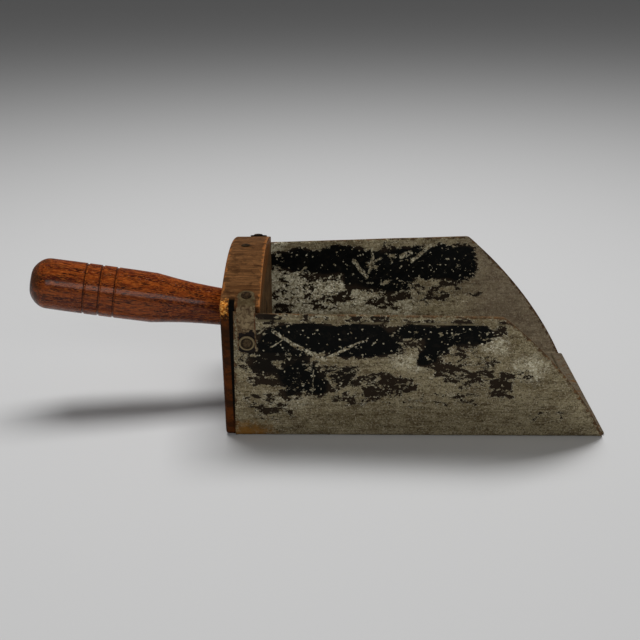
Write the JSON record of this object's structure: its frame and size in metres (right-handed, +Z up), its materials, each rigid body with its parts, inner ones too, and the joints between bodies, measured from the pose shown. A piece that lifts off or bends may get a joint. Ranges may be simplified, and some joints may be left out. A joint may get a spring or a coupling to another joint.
{
  "type": "hand scoop",
  "caption": "Antique hand scoop: folded tin pan with flaring walls and a slanting mouth, nailed round a wooden board with a turned wooden handle.",
  "frame": {"origin": "middle of the flat underside, halfway from the sheet's rear edge to its lip", "axes": "+X towards the mouth, +Y to the far side, +Z up; the handle points towards -X and tilts up"},
  "size_m": [0.344, 0.1544, 0.0978],
  "materials": {
    "japanned_tin": "worn black japan over dull bare tin",
    "board_wood": "old oiled wood, worn at the edges",
    "handle_wood": "glossy reddish-brown varnish",
    "bare_tin": "dull bare tin with spots of rust",
    "black_tin": "black japan",
    "nail_iron": "dull rusted iron",
    "screw_iron": "dark stained iron"
  },
  "bodies": {
    "root": {"scoop_pan": "japanned_tin", "back_board": "board_wood", "handle": "handle_wood", "corner_strap_near": "bare_tin", "corner_strap_far": "black_tin", "strap_side_nail_near": "nail_iron", "strap_side_nail_far": "nail_iron", "strap_top_nail_near": "nail_iron", "strap_top_nail_far": "nail_iron", "board_top_nail": "nail_iron", "bottom_nails": "nail_iron", "handle_screw": "screw_iron"}
  },
  "joints": []
}
